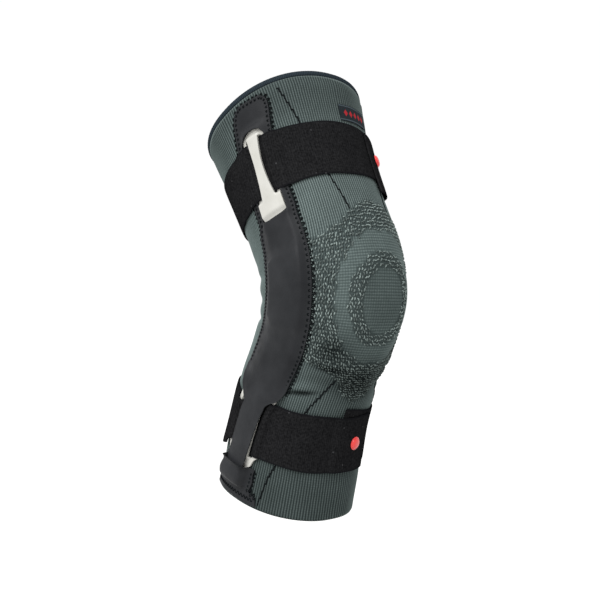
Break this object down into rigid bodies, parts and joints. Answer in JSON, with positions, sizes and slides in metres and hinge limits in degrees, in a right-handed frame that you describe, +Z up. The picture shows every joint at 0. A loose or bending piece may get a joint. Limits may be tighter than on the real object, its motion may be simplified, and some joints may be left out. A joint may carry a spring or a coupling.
{
  "type": "hinged knee brace",
  "caption": "Knitted knee sleeve, bent as worn, with a slotted hinged stay in a leather pocket down each side and elastic wrap straps above and below the knee.",
  "frame": {"origin": "middle of the knee, on the middle line of the leg that the sleeve is knitted round", "axes": "+Z up, -Y towards the front of the knee, -X towards the outer side of a right leg; the knee bends about X"},
  "size_m": [0.1356, 0.1809, 0.3714],
  "materials": {
    "knit": "ribbed compression knit, matt",
    "welt_knit": "close plain knit, matt",
    "label_cloth": "woven damask, matt",
    "stay_plastic": "moulded, satin",
    "hinge_steel": "stamped, hidden in the pocket",
    "pocket_leather": "smooth synthetic leather, satin",
    "elastic_webbing": "brushed loop elastic, matt",
    "red_stud": "moulded, glossy"
  },
  "bodies": {
    "root": {"knit_sleeve": "knit", "top_welt": "welt_knit", "woven_label": "label_cloth", "outer_thigh_stay": "stay_plastic", "outer_hinge": "hinge_steel", "outer_calf_stay": "stay_plastic", "outer_pocket": "pocket_leather", "outer_pocket_cap": "pocket_leather", "inner_thigh_stay": "stay_plastic", "inner_hinge": "hinge_steel", "inner_calf_stay": "stay_plastic", "inner_pocket": "pocket_leather", "inner_pocket_cap": "pocket_leather", "thigh_strap": "elastic_webbing", "thigh_strap_stud": "red_stud", "calf_strap": "elastic_webbing", "calf_strap_stud": "red_stud"}
  },
  "joints": []
}
